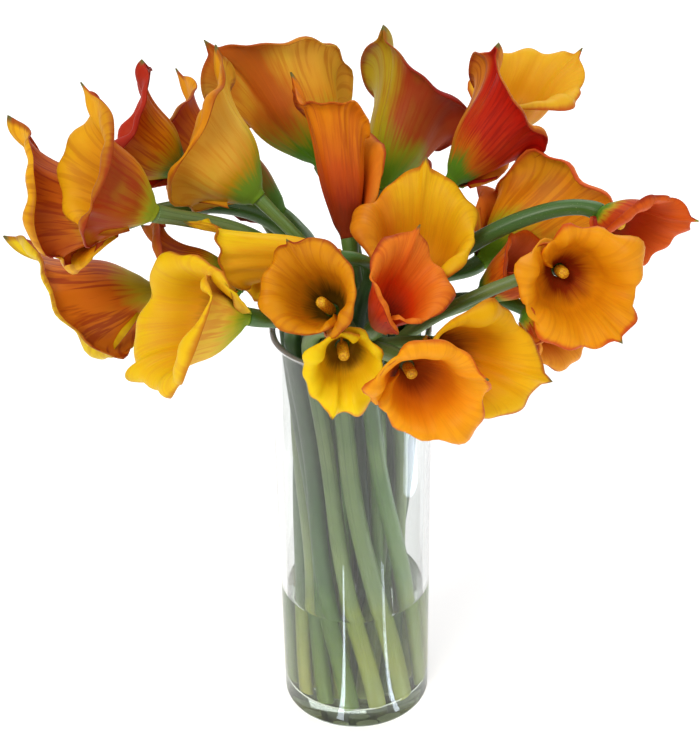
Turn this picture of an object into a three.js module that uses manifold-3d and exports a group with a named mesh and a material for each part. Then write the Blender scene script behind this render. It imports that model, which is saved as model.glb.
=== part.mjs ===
// A vase of calla lilies: a thick-floored glass cylinder, water in its lower third, and a fanned bunch of
// orange and yellow callas whose stems cross in a loose spiral inside the glass.
// Millimetres, +Z up, origin at the centre of the vase's underside. -Y is the front of the bunch.

import * as THREE from "three";
import { mergeVertices } from "three/addons/utils/BufferGeometryUtils.js";
import Module from "manifold-3d";

const wasm = await Module();
wasm.setup();

// Driving dimensions
const VASE_HEIGHT = 270;
const RIM_RADIUS = 47;
const BASE_RADIUS = 45;
const WALL = 3.5;
const FLOOR = 12;
const EDGE = 1.5;
const WATER_TOP = 84;
const CLEARANCE = 0.3;
const FOOT_GAP = 0.9;
const VASE_SIDES = 32;
const STEM_FOOT_RADIUS = 5;
const STEM_MOUTH_RADIUS = 4.6;
const STEM_TOP_RADIUS = 3.8;
const STEM_SIDES = 6;
const STEM_BENDS = 6;
const SPADIX_RADIUS = 3.1;
const SPADIX_SHARE = 0.36;
const SPATHE_THICKNESS = 0.9;
const WRAP_PITCH = 2.2;
const WRAP_START = 1.32;
const OVERLAP_DEGREES = 30;
const RIB_SPACING_DEGREES = 30;
const TIP_DEGREES = 11;
const RUFFLES = 5;

// Shares of a rib's length, from the stem to the rim, at which the spathe has a row of points
const RIB_STEPS = [0, 0.16, 0.36, 0.56, 0.74, 0.89, 1];

// The tip: straight shoulders that rise to a point, and a drawn-out tail on it, each by its share of the
// midrib and its width
const SHOULDERS = { share: 0.12, radians: 0.55 };
const TAIL = { share: 0.05, radians: 0.11 };

// The throat, by shares of the midrib's length: it has opened at one, starts to close at another and takes a
// third to do so. Closing takes back most of its angle.
const THROAT = { opened: 0.06, closes: 0.2, over: 0.32, closing: 0.75 };

// The flare and the roll set in at a share of the way to the rim, and the two edges that overlap in front are
// cut shorter than the rest
const FLARE = { from: 0.5, power: 1.4 };
const ROLL_FROM = 0.75;
const EDGE_CUT = { share: 0.75, power: 1.4 };
const RIB_POINTS = 14;

// The spadix's radius at shares of its length: full for most of it, and half at its round end
const SPADIX_STATIONS = [[0.12, 1], [0.8, 1], [1, 0.5]];

// Rings of seats that the stems stand in at the vase's mouth. Twist is how many degrees further round a stem's
// foot stands: the inner rings wind one way and the outer ring the other.
const SEAT_RINGS = [
  { seats: 3, radius: 8, twist: -30 },
  { seats: 9, radius: 22, twist: -35 },
  { seats: 14, radius: 37, twist: 60 },
];
const FOOT_INSET = 0.93;

// How a spathe is cut and how far it opens. Lists run back, left, front, right. Reach is the way from stem to
// rim as a share of the midrib, flare is the upper half's turn outwards in degrees, and roll is what the last
// quarter adds to it. Cone is the throat's half angle, and ruffle the height of the rim's waves.
const HABITS = {
  slim: { reach: [0.9, 0.86, 0.66, 0.86], flare: [10, 16, 12, 16], roll: [5, 10, 10, 10], cone: 13, ruffle: 1 },
  cup: { reach: [0.9, 0.8, 0.48, 0.8], flare: [30, 40, 34, 40], roll: [10, 35, 30, 35], cone: 27, ruffle: 1 },
  open: { reach: [0.9, 0.8, 0.42, 0.8], flare: [42, 50, 40, 50], roll: [10, 40, 40, 40], cone: 36, ruffle: 1.5 },
  broad: {
    reach: [0.9, 0.85, 0.5, 0.85], flare: [50, 60, 50, 60], roll: [10, 40, 40, 40], cone: 38, ruffle: 2,
  },
  curled: {
    reach: [0.9, 0.85, 0.54, 0.85], flare: [75, 60, 50, 60], roll: [60, 40, 40, 40], cone: 38, ruffle: 2,
  },
  frilled: {
    reach: [0.9, 0.87, 0.5, 0.87], flare: [46, 60, 50, 60], roll: [10, 30, 30, 30], cone: 35, ruffle: 4,
  },
};

// Each calla: its stem's end, how far its throat leans from upright and to which side of the compass (0 is +X,
// 90 is +Y), how far round the throat its midrib is turned from the upper side, and the midrib's length.
// Pull and sway shape the stem's bend over the rim, where it has to pass its neighbours.
const CALLAS = [
  { name: "left_low", at: [-115, 50, 265], lean: 100, compass: 185, turn: 45, size: 90, habit: "broad" },
  {
    name: "left_mid", at: [-125, -5, 345], lean: 80, compass: 175, turn: 30, size: 80, habit: "broad",
    sway: [0, 35, 10],
  },
  {
    name: "left_high", at: [-105, -40, 370], lean: 55, compass: 185, turn: 20, size: 75, habit: "broad",
    sway: [-10, 25, 5],
  },
  {
    name: "left_crown", at: [-95, 40, 350], lean: 50, compass: 175, turn: 10, size: 65, habit: "broad",
    sway: [0, 15, -5],
  },
  { name: "left_swirl", at: [-50, 0, 355], lean: 50, compass: 155, turn: 25, size: 80, habit: "broad" },
  { name: "left_back", at: [-65, 70, 320], lean: 60, compass: 150, turn: 55, size: 75, habit: "cup" },
  { name: "left_shade", at: [-40, 100, 285], lean: 60, compass: 155, turn: 90, size: 80, habit: "cup" },
  { name: "top_left", at: [-15, 65, 340], lean: 50, compass: 125, turn: -65, size: 90, habit: "broad" },
  { name: "top_twist", at: [0, 5, 325], lean: 35, compass: 100, turn: -85, size: 90, habit: "slim" },
  { name: "mid_yellow", at: [-5, -40, 340], lean: 85, compass: 185, turn: 15, size: 80, habit: "slim" },
  {
    name: "mid_left", at: [-10, -55, 315], lean: 45, compass: 245, turn: 30, size: 60, habit: "cup",
    sway: [-5, 0, 0],
  },
  { name: "front_yellow", at: [-5, -65, 300], lean: 90, compass: 275, turn: 160, size: 40, habit: "open" },
  {
    name: "centre", at: [35, -15, 300], lean: 5, compass: 0, turn: -95, size: 70, habit: "open",
    sway: [-5, 10, 0],
  },
  { name: "centre_front", at: [15, -55, 305], lean: 30, compass: 340, turn: -60, size: 55, habit: "cup" },
  { name: "top_tall", at: [20, 75, 315], lean: 45, compass: 60, turn: -25, size: 90, habit: "cup" },
  {
    name: "top_far", at: [90, 115, 330], lean: 25, compass: 10, turn: -160, size: 65, habit: "open",
    sway: [5, 20, 0],
  },
  { name: "top_red", at: [60, 50, 335], lean: 45, compass: 25, turn: 0, size: 80, habit: "cup" },
  { name: "right_high", at: [75, 25, 295], lean: 70, compass: 30, turn: 120, size: 95, habit: "frilled" },
  {
    name: "right_far", at: [140, -5, 345], lean: 95, compass: 315, turn: -70, size: 50, habit: "open",
    pull: 0.25, sway: [0, -15, 10],
  },
  { name: "right_mid", at: [75, -10, 295], lean: 60, compass: 10, turn: -125, size: 50, habit: "cup" },
  {
    name: "right_frill", at: [115, -40, 330], lean: 70, compass: 280, turn: -150, size: 65, habit: "frilled",
    pull: 0.25, sway: [10, 0, 0],
  },
  {
    name: "right_low", at: [100, -10, 285], lean: 110, compass: 325, turn: -75, size: 50, habit: "cup",
    sway: [0, 0, -5],
  },
  {
    name: "front_right", at: [45, -45, 285], lean: 80, compass: 310, turn: -120, size: 65, habit: "open",
    sway: [0, -5, 0],
  },
  {
    name: "front_low", at: [30, -80, 295], lean: 85, compass: 285, turn: -60, size: 60, habit: "broad",
    sway: [10, -5, -5],
  },
  {
    name: "left_front", at: [-55, -75, 325], lean: 80, compass: 200, turn: 165, size: 75, habit: "curled",
    sway: [5, 0, -10],
  },
  { name: "left_inner", at: [-60, -25, 315], lean: 95, compass: 175, turn: 60, size: 65, habit: "broad" },
];

const MATERIALS = {
  glass: { color: 0xe8f0ee, roughness: 0.05, metalness: 0 },
  water: { color: 0xdfeee4, roughness: 0.05, metalness: 0 },
  stem: { color: 0x6f9a3c, roughness: 0.5, metalness: 0 },
  spathe: { color: 0xe0901a, roughness: 0.5, metalness: 0 },
};

const radians = THREE.MathUtils.degToRad;
const vector = (list) => new THREE.Vector3(...list);
const mix = (a, b, share) => a + (b - a) * share;
const clamp = (value) => Math.min(1, Math.max(0, value));
const smooth = (value) => clamp(value) ** 2 * (3 - 2 * clamp(value));

function solidOf(geometry) {
  const bare = geometry.index ? geometry.toNonIndexed() : geometry.clone();
  bare.deleteAttribute("normal");
  bare.deleteAttribute("uv");
  const merged = mergeVertices(bare, 1e-3);
  return new wasm.Manifold(new wasm.Mesh({
    numProp: 3,
    vertProperties: merged.attributes.position.array,
    triVerts: new Uint32Array(merged.index.array),
  }));
}

function meshGeometry(positions, index) {
  const geometry = new THREE.BufferGeometry();
  geometry.setAttribute("position", new THREE.Float32BufferAttribute(positions, 3));
  geometry.setIndex(index);
  return geometry;
}

function geometryOf(solid) {
  const mesh = solid.getMesh();
  const positions = [];
  for (let i = 0; i < mesh.numVert; i++) {
    positions.push(...mesh.vertProperties.subarray(i * mesh.numProp, i * mesh.numProp + 3));
  }
  return meshGeometry(positions, Array.from(mesh.triVerts));
}

function named(name, geometry, material) {
  const mesh = new THREE.Mesh(geometry, new THREE.MeshStandardMaterial(material));
  mesh.name = name;
  return mesh;
}

// A lathe profile of [radius, height] pairs turned about the vase's axis
function turned(profile) {
  const geometry = new THREE.LatheGeometry(profile.map(([r, z]) => new THREE.Vector2(r, z)), VASE_SIDES);
  return geometry.rotateX(Math.PI / 2);
}

const outerRadius = (z) => mix(BASE_RADIUS, RIM_RADIUS, z / VASE_HEIGHT);
const innerRadius = (z) => outerRadius(z) - WALL;

function vase() {
  const profile = [
    [0, 0],
    [BASE_RADIUS - 2 * EDGE, 0],
    [BASE_RADIUS, 2 * EDGE],
    [RIM_RADIUS, VASE_HEIGHT - EDGE],
    [RIM_RADIUS - WALL / 2, VASE_HEIGHT],
    [RIM_RADIUS - WALL, VASE_HEIGHT - EDGE],
    [innerRadius(FLOOR), FLOOR + 2 * EDGE],
    [innerRadius(FLOOR) - 2 * EDGE, FLOOR],
    [0, FLOOR],
  ];
  return named("vase", turned(profile), MATERIALS.glass);
}

// A closed tube of STEM_SIDES sides through stations of centre, direction and radius
function tube(stations) {
  const position = [];
  const index = [];
  let side = new THREE.Vector3(1, 0, 0);
  for (const { centre, direction, radius } of stations) {
    side = side.clone().addScaledVector(direction, -side.dot(direction)).normalize();
    const other = new THREE.Vector3().crossVectors(direction, side);
    for (let i = 0; i < STEM_SIDES; i++) {
      const angle = (2 * Math.PI * i) / STEM_SIDES;
      const point = centre.clone()
        .addScaledVector(side, radius * Math.cos(angle))
        .addScaledVector(other, radius * Math.sin(angle));
      position.push(...point.toArray());
    }
  }
  const last = stations.length - 1;
  for (let ring = 0; ring < last; ring++) {
    for (let i = 0; i < STEM_SIDES; i++) {
      const a = ring * STEM_SIDES + i;
      const b = ring * STEM_SIDES + ((i + 1) % STEM_SIDES);
      index.push(a, b, b + STEM_SIDES, a, b + STEM_SIDES, a + STEM_SIDES);
    }
  }
  for (const [ring, flip] of [[0, true], [last, false]]) {
    const hub = position.length / 3;
    position.push(...stations[ring].centre.toArray());
    for (let i = 0; i < STEM_SIDES; i++) {
      const a = ring * STEM_SIDES + i;
      const b = ring * STEM_SIDES + ((i + 1) % STEM_SIDES);
      index.push(hub, ...(flip ? [b, a] : [a, b]));
    }
  }
  return meshGeometry(position, index);
}

// The way a stem rises inside the glass, from its foot to its seat in the mouth
const riseOf = (calla) => new THREE.Vector3().subVectors(calla.seat, calla.foot).normalize();

// The stem's one bend, from its seat in the mouth to the spathe
function stemCurve(calla) {
  const end = vector(calla.at);
  const span = calla.seat.distanceTo(end);
  const pull = calla.pull ?? 0.4;
  const sway = vector(calla.sway ?? [0, 0, 0]);
  return new THREE.CubicBezierCurve3(
    calla.seat,
    calla.seat.clone().addScaledVector(riseOf(calla), span * pull).add(sway),
    end.clone().addScaledVector(calla.throat, -span * pull).add(sway),
    end,
  );
}

// A stem, straight inside the glass and bent above it, with the spadix as its end inside the spathe
function stem(calla) {
  const curve = stemCurve(calla);
  const stations = [{ centre: calla.foot, direction: riseOf(calla), radius: STEM_FOOT_RADIUS }];
  for (let i = 0; i <= STEM_BENDS; i++) {
    const share = i / STEM_BENDS;
    stations.push({
      centre: curve.getPoint(share),
      direction: curve.getTangent(share),
      radius: mix(STEM_MOUTH_RADIUS, STEM_TOP_RADIUS, share),
    });
  }
  const spadix = SPADIX_SHARE * calla.size;
  for (const [along, fullness] of SPADIX_STATIONS) {
    stations.push({
      centre: vector(calla.at).addScaledVector(calla.throat, along * spadix),
      direction: calla.throat,
      radius: fullness * SPADIX_RADIUS,
    });
  }
  return named("stem_" + calla.name, tube(stations), MATERIALS.stem);
}

// Water up to WATER_TOP, with a plain hole for each stem
function water() {
  const bottom = FLOOR + CLEARANCE;
  const holeRadius = STEM_FOOT_RADIUS + CLEARANCE / Math.cos(Math.PI / STEM_SIDES);
  let solid = solidOf(turned([
    [0, bottom],
    [innerRadius(FLOOR) - 2 * EDGE - CLEARANCE, bottom],
    [innerRadius(FLOOR) - CLEARANCE, bottom + 2 * EDGE],
    [innerRadius(WATER_TOP) - CLEARANCE, WATER_TOP],
    [0, WATER_TOP],
  ]));
  for (const calla of CALLAS) {
    const direction = riseOf(calla);
    const hole = [-FLOOR, WATER_TOP].map((along) => ({
      centre: calla.foot.clone().addScaledVector(direction, along),
      direction,
      radius: holeRadius,
    }));
    solid = solid.subtract(solidOf(tube(hole)));
  }
  return named("water", geometryOf(solid), MATERIALS.water);
}

// A value given at the back, left, front and right, read at angle theta from the back. It changes slowly
// beside the back, so that the midrib keeps its own form.
function around(four, theta) {
  const turn = ((theta / (Math.PI / 2)) % 4 + 4) % 4;
  const from = Math.floor(turn);
  const share = smooth(turn - from);
  const leaving = from === 0 ? share ** 1.5 : share;
  const shaped = from === 3 ? 1 - (1 - share) ** 1.5 : leaving;
  return mix(four[from], four[(from + 1) % 4], shaped);
}

// A closed mesh from a grid of points: the outer face, the inner face and the strip that joins their edges
function closedSheet(outer, inner) {
  const rows = outer.length;
  const columns = outer[0].length;
  const position = [outer, inner].flat(2).flatMap((point) => point.toArray());
  const index = [];
  const at = (face, row, column) => (face * rows + row) * columns + column;
  const quad = (a, b, c, d) => index.push(a, b, c, a, c, d);
  for (let row = 0; row + 1 < rows; row++) {
    for (let column = 0; column + 1 < columns; column++) {
      quad(at(0, row, column), at(0, row, column + 1), at(0, row + 1, column + 1), at(0, row + 1, column));
      const [a, b] = [at(1, row, column), at(1, row, column + 1)];
      const [c, d] = [at(1, row + 1, column + 1), at(1, row + 1, column)];
      index.push(a, c, b, a, d, c);
    }
  }
  const across = Array.from({ length: columns - 1 }, (_, column) => column);
  const along = Array.from({ length: rows - 1 }, (_, row) => row);
  const rim = [
    ...across.map((column) => [0, column]),
    ...along.map((row) => [row, columns - 1]),
    ...across.map((column) => [rows - 1, columns - 1 - column]),
    ...along.map((row) => [rows - 1 - row, 0]),
  ];
  rim.forEach(([row, column], i) => {
    const [nextRow, nextColumn] = rim[(i + 1) % rim.length];
    quad(at(0, nextRow, nextColumn), at(0, row, column), at(1, row, column), at(1, nextRow, nextColumn));
  });
  return meshGeometry(position, index);
}

// The angles round the throat at which a spathe's ribs stand, closer together beside the midrib
function ribAngles() {
  const last = 180 + OVERLAP_DEGREES;
  const angles = [-TIP_DEGREES, 0, TIP_DEGREES];
  for (let degrees = RIB_SPACING_DEGREES; degrees <= last; degrees += RIB_SPACING_DEGREES) {
    angles.push(degrees);
    angles.unshift(-degrees);
  }
  return angles.map(radians);
}

// How far a rib leans from the throat's axis, at a share of its way to the rim. The throat opens at once and
// closes again over the first half of the midrib's length; flare and roll then turn the rim outwards.
function ribLean(form, theta, share, run) {
  const closed = THROAT.closing * smooth((run - THROAT.closes) / THROAT.over);
  const throat = radians(form.cone) * smooth(run / THROAT.opened) * (1 - closed);
  const flaring = clamp((share - FLARE.from) / (1 - FLARE.from)) ** FLARE.power;
  const flare = radians(around(form.flare, theta)) * flaring;
  const roll = radians(around(form.roll, theta)) * smooth((share - ROLL_FROM) / (1 - ROLL_FROM));
  return throat + flare + roll;
}

// A point of the spathe's middle sheet in its own frame: +Z up the throat, +X towards the midrib. The sheet
// winds in as it goes round, so that its two edges pass each other in front, where they also shorten.
function spathePoint(calla, theta, share) {
  const form = HABITS[calla.habit];
  const overlap = clamp((Math.abs(theta) - Math.PI) / radians(OVERLAP_DEGREES));
  const point = SHOULDERS.share * Math.exp(-Math.abs(theta) / SHOULDERS.radians)
    + TAIL.share * Math.exp(-((theta / TAIL.radians) ** 2));
  const whole = 1 - EDGE_CUT.share * overlap ** EDGE_CUT.power;
  const length = calla.size * (around(form.reach, theta) + point) * whole;
  let radius = STEM_TOP_RADIUS + CLEARANCE + SPATHE_THICKNESS / 2 + WRAP_START;
  let height = 0;
  let lean = 0;
  for (let step = 0; step < RIB_POINTS; step++) {
    const along = (share * (step + 0.5)) / RIB_POINTS;
    lean = ribLean(form, theta, along, (along * length) / calla.size);
    radius += (Math.sin(lean) * share * length) / RIB_POINTS;
    height += (Math.cos(lean) * share * length) / RIB_POINTS;
  }
  const wrap = (WRAP_PITCH * calla.hand * theta) / (2 * Math.PI);
  const offMidrib = Math.min(1, 2 * Math.abs(theta));
  const wave = form.ruffle * share ** 3 * Math.sin(RUFFLES * theta + calla.phase) * offMidrib;
  radius += Math.cos(lean) * (wrap + wave);
  height -= Math.sin(lean) * (wrap + wave);
  return new THREE.Vector3(radius * Math.cos(theta), radius * Math.sin(theta), height);
}

// The frame of a calla at its stem's end: its throat along Z and its midrib on the X side
function frameOf(calla) {
  return new THREE.Matrix4().makeTranslation(vector(calla.at))
    .multiply(new THREE.Matrix4().makeRotationZ(radians(calla.compass)))
    .multiply(new THREE.Matrix4().makeRotationY(radians(calla.lean)))
    .multiply(new THREE.Matrix4().makeRotationZ(radians(180 + calla.turn)));
}

function spathe(calla) {
  const angles = ribAngles();
  const sheet = RIB_STEPS.map((share) => angles.map((theta) => spathePoint(calla, theta, share)));
  const normals = sheet.map((row, r) => row.map((_, c) => {
    const alongRow = row[Math.min(c + 1, row.length - 1)].clone().sub(row[Math.max(c - 1, 0)]);
    const alongRib = sheet[Math.min(r + 1, sheet.length - 1)][c].clone().sub(sheet[Math.max(r - 1, 0)][c]);
    return alongRow.cross(alongRib).normalize();
  }));
  const face = (offset) => sheet.map((row, r) =>
    row.map((point, c) => point.clone().addScaledVector(normals[r][c], offset)));
  const geometry = closedSheet(face(SPATHE_THICKNESS / 2), face(-SPATHE_THICKNESS / 2));
  return named("spathe_" + calla.name, geometry.applyMatrix4(frameOf(calla)), MATERIALS.spathe);
}

// Gives each calla a seat in the mouth: the stems that leave it lowest take the outer ring, in compass order
function seatStems() {
  const bearing = (calla) => Math.atan2(calla.at[1], calla.at[0]);
  const slope = (calla) => (calla.at[2] - VASE_HEIGHT) / Math.hypot(calla.at[0], calla.at[1]);
  const waiting = [...CALLAS].sort((a, b) => slope(b) - slope(a));
  for (const ring of SEAT_RINGS) {
    const row = waiting.splice(0, ring.seats).sort((a, b) => bearing(a) - bearing(b));
    const step = (2 * Math.PI) / row.length;
    const drift = row.map((calla, i) => bearing(calla) - i * step);
    const start = Math.atan2(
      drift.reduce((sum, angle) => sum + Math.sin(angle), 0),
      drift.reduce((sum, angle) => sum + Math.cos(angle), 0),
    );
    row.forEach((calla, i) => {
      const angle = start + i * step;
      const foot = angle + radians(ring.twist);
      const inset = ring.radius * FOOT_INSET;
      calla.seat = new THREE.Vector3(ring.radius * Math.cos(angle), ring.radius * Math.sin(angle), VASE_HEIGHT);
      calla.foot = new THREE.Vector3(inset * Math.cos(foot), inset * Math.sin(foot), FLOOR + FOOT_GAP);
    });
  }
}

const bunch = new THREE.Group();
CALLAS.forEach((calla, i) => {
  calla.throat = new THREE.Vector3(0, 0, 1).transformDirection(frameOf(calla));
  calla.hand = i % 2 ? 1 : -1;
  calla.phase = i * 2.4;
});
seatStems();
bunch.add(vase(), water());
for (const calla of CALLAS) {
  bunch.add(stem(calla), spathe(calla));
}

export default bunch;
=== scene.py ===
"""A vase of calla lilies: glass, water, round stems, grained spadices and thin veined spathes.

Lengths in the dataclasses are millimetres, and every mesh is built in metres. +Z is up, the origin is the
centre of the vase's underside, and -Y is the front of the bunch.
"""

import logging
import math
from collections.abc import Callable, Sequence
from dataclasses import dataclass, field
from enum import Enum
from functools import partial, reduce

import bmesh
import bpy
import numpy as np
from mathutils import Matrix, Vector


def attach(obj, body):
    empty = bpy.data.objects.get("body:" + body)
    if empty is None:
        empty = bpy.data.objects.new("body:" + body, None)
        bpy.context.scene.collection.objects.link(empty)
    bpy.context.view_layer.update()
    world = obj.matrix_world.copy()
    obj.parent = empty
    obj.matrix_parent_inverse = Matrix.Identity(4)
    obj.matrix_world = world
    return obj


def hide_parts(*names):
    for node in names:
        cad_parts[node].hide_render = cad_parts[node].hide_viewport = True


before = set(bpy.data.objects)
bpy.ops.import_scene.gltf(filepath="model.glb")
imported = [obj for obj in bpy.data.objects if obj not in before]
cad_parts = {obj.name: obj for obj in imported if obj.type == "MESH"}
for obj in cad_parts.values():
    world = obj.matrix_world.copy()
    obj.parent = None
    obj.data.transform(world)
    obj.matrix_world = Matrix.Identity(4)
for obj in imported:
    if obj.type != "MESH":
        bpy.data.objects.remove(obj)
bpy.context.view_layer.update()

Colour = tuple[float, float, float, float]
Triple = tuple[float, float, float]
Pair = tuple[float, float]
Stops = Sequence[tuple[float, str]]
Socket = bpy.types.NodeSocket
Value = float | Socket
Node = bpy.types.Node
Material = bpy.types.Material
Mesh = bmesh.types.BMesh
Piece = bpy.types.Object

LOG = logging.getLogger("callas")
MM = 0.001
SHARP = math.radians(50)
WELD = 1e-6

# A spathe's edges lie this many degrees round from its midrib, either way, so that they overlap in front.
OVERLAP = 30.0
SHEET_TURN = 180.0 + OVERLAP

# How many faces a spathe and a spadix have round the throat and along, and a stem has round it.
SHEET_GRID = (96, 56)
CLUB_GRID = (42, 60)
STEM_SIDES = 20

# How often a pattern comes across and along a spathe, round and along a stem, and along the glass's axes.
VEIN_GRAIN: Triple = (84, 2.2, 1)
BAND_GRAIN: Triple = (22, 1.6, 1)
CLOUD_GRAIN: Triple = (6, 2.4, 1)
STEM_GRAIN: Triple = (38, 2, 1)
GLASS_GRAIN: Triple = (22, 22, 3)

# How far a pattern moves along each axis for a shift of one, and how much it shifts from one spathe to the
# next and from the outside to the inside.
SHIFTED: Triple = (1.0, 0.7, 1.3)
SPATHE_SHIFT = 7.31
FACE_SHIFT = 3.7

# The mixing node's share and its two colours, and its colour output.
MIX_INPUTS = (0, 6, 7)
MIX_OUTPUT = 2


def tint(code: str) -> Colour:
    """Turns a colour code into the linear values that a shader takes.

    Args:
        code: Six hexadecimal digits, red, green and blue.

    Returns:
        Linear red, green and blue, and an alpha of one.
    """
    channels = [int(code[i:i + 2], 16) / 255 for i in (0, 2, 4)]
    # The standard curve of screen colours, straight near black and a power above it.
    linear = [c / 12.92 if c <= 0.04045 else ((c + 0.055) / 1.055) ** 2.4 for c in channels]
    return (linear[0], linear[1], linear[2], 1.0)


def ease(value: np.ndarray | float, start: float = 0.0, run: float = 1.0) -> np.ndarray:
    """Eases from 0 to 1 over a run that begins at start, held before and after it."""
    held = np.clip((value - start) / run, 0.0, 1.0)
    return held**2 * (3 - 2 * held)


class Paint:
    """A material's node tree, with the few kinds of node that this bunch's finishes share."""

    def __init__(self, name: str) -> None:
        """Starts a material with one Principled surface.

        Args:
            name: The material's name.
        """
        self.material = bpy.data.materials.new(name)
        self.material.use_nodes = True
        self.tree = self.material.node_tree
        self.tree.nodes.clear()
        self.surface = self.tree.nodes.new("ShaderNodeBsdfPrincipled")
        self.output = self.tree.nodes.new("ShaderNodeOutputMaterial")
        self.tree.links.new(self.surface.outputs["BSDF"], self.output.inputs["Surface"])

    def put(self, socket: Socket, value: Value | Colour | Triple) -> None:
        """Links a socket into another one, or sets its own value.

        Args:
            socket: The input to fill.
            value: A number, a colour or another node's output.
        """
        if isinstance(value, Socket):
            self.tree.links.new(value, socket)
        else:
            socket.default_value = value

    def set(self, **values: Value | Colour | Triple) -> None:
        """Fills the surface's inputs, by name with an underscore for each space."""
        self.feed(self.surface, **values)

    def feed(self, node: Node, **values: Value | Colour | Triple) -> Node:
        """Fills a node's inputs.

        Args:
            node: The node.
            values: Inputs by name, with an underscore for each space.

        Returns:
            The same node.
        """
        for name, value in values.items():
            self.put(node.inputs[name.replace("_", " ")], value)
        return node

    def new(self, kind: str, **values: Value | Colour | Triple) -> Node:
        """Adds a node, given the end of its type's name, and fills its inputs by name."""
        return self.feed(self.tree.nodes.new(f"ShaderNode{kind}"), **values)

    def maths(self, operation: str, *values: Value) -> Socket:
        """Works out one value from others.

        Args:
            operation: What is done with them.
            values: The values, in order.

        Returns:
            The result.
        """
        node = self.new("Math")
        node.operation = operation
        for socket, value in zip(node.inputs, values):
            self.put(socket, value)
        return node.outputs["Value"]

    def coordinates(self, kind: str) -> Socket:
        """Gives the piece's own "UV" or "Object" coordinates."""
        return self.new("TexCoord").outputs[kind]

    def stretched(self, vector: Socket, scale: Triple, shift: float = 0.0) -> Socket:
        """Stretches coordinates along each axis, and shifts them so that no two pieces share a pattern."""
        place = tuple(shift * part for part in SHIFTED)
        return self.new("Mapping", Vector=vector, Scale=scale, Location=place).outputs["Vector"]

    def noise(self, vector: Socket, scale: float = 1.0, detail: float = 2.0) -> Socket:
        """Gives soft cloudy noise from 0 to 1, with its frequency and how many finer layers it has."""
        return self.new("TexNoise", Vector=vector, Scale=scale, Detail=detail).outputs[0]

    def cells(self, vector: Socket, scale: float) -> Socket:
        """Gives the distance to the nearest of many scattered points, as on a pebbled skin."""
        return self.new("TexVoronoi", Vector=vector, Scale=scale).outputs["Distance"]

    def sides(self, vector: Socket) -> tuple[Socket, Socket]:
        """Splits coordinates into their first and second number."""
        node = self.new("SeparateXYZ", Vector=vector)
        return node.outputs["X"], node.outputs["Y"]

    def height(self, vector: Socket) -> Socket:
        """Gives the third number of coordinates."""
        return self.new("SeparateXYZ", Vector=vector).outputs["Z"]

    def fill(self, code: str, density: float) -> None:
        """Lets the piece's depth take up light, going towards a colour at so much per metre."""
        node = self.new("VolumeAbsorption", Color=tint(code), Density=density)
        self.tree.links.new(node.outputs["Volume"], self.output.inputs["Volume"])

    def sum(self, first: Value, second: Value, factor: float = 1.0) -> Socket:
        """Adds the second value, times a factor, to the first."""
        return self.maths("MULTIPLY_ADD", second, factor, first)

    def product(self, *values: Value) -> Socket:
        """Multiplies two or more values."""
        return reduce(partial(self.maths, "MULTIPLY"), values)

    def centred(self, pattern: Value) -> Socket:
        """Takes a half off a pattern from 0 to 1, so that it swings both ways."""
        return self.sum(-0.5, pattern)

    def away(self, value: Value, centre: float) -> Socket:
        """Gives how far a value is from a centre, on either side."""
        return self.maths("ABSOLUTE", self.sum(-centre, value))

    def step(self, value: Value, start: float, end: float) -> Socket:
        """Eases from 0 to 1 as a value goes from start to end, or back where start is the larger.

        Args:
            value: The value.
            start: Where it gives 0.
            end: Where it gives 1.

        Returns:
            The eased share.
        """
        low, high = sorted((start, end))
        rising = float(end > start)
        node = self.new(
            "MapRange", Value=value, From_Min=low, From_Max=high, To_Min=1.0 - rising, To_Max=rising
        )
        node.interpolation_type = "SMOOTHSTEP"
        return node.outputs["Result"]

    def over(self, share: Value, under: Value | Colour, top: Value | Colour) -> Socket:
        """Lays one colour over another.

        Args:
            share: How much of the top colour shows.
            under: The colour beneath.
            top: The colour on top.

        Returns:
            The mixed colour.
        """
        node = self.new("Mix")
        node.data_type = "RGBA"
        for index, value in zip(MIX_INPUTS, (share, under, top)):
            self.put(node.inputs[index], value)
        return node.outputs[MIX_OUTPUT]

    def ramp(self, value: Value, stops: Stops) -> Socket:
        """Reads a colour from a row of stops.

        Args:
            value: Where to read.
            stops: Places from 0 to 1, each with its colour code.

        Returns:
            The colour there.
        """
        node = self.new("ValToRGB", Fac=value)
        row = node.color_ramp.elements
        row[0].position, row[0].color = stops[0][0], tint(stops[0][1])
        row[1].position, row[1].color = stops[-1][0], tint(stops[-1][1])
        for place, code in stops[1:-1]:
            row.new(place).color = tint(code)
        return node.outputs["Color"]

    def relief(self, height: Socket, depth: float, strength: float = 1.0) -> None:
        """Gives the surface a pattern's relief, with its depth in millimetres and how strongly it shows."""
        node = self.new("Bump", Distance=depth * MM, Strength=strength, Height=height)
        self.set(Normal=node.outputs["Normal"])


class Face(Enum):
    """The two faces of a spathe."""

    OUTSIDE = "outside"
    INSIDE = "inside"


@dataclass(frozen=True)
class Mark:
    """A streak, stain or patch of painted light that lies between two values of a pattern and two of the way
    to the rim.
    """

    pattern: Pair
    along: Pair
    share: float = 1.0

    def reach(self, paint: Paint, pattern: Value, along: Value, strength: float = 1.0) -> Socket:
        """Gives how much the mark shows for a pattern, the way to the rim and the strength of such marks."""
        shown = paint.step(pattern, *self.pattern), paint.step(along, *self.along)
        return paint.product(*shown, strength * self.share)


# Lighter cloudy patches, of the turning colour outside and the lip colour inside: painted highlights.
HIGHLIGHT_PATCHES = Mark((0.5, 0.8), (0.25, 0.6), 0.36)
# Broad darker bands of the streak colour: partly the spathe's own streaking, partly painted shade.
STREAK_AND_SHADE_WASHES = Mark((0.46, 0.66), (0.2, 0.7), 0.6)
LINES = Mark((0.48, 0.62), (0.16, 0.45))
RIM = Mark((0.3, 0.6), (0.975, 1.015), 0.75)
TAIL = Mark((0.01, 0.005), (0.95, 1.0))


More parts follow.
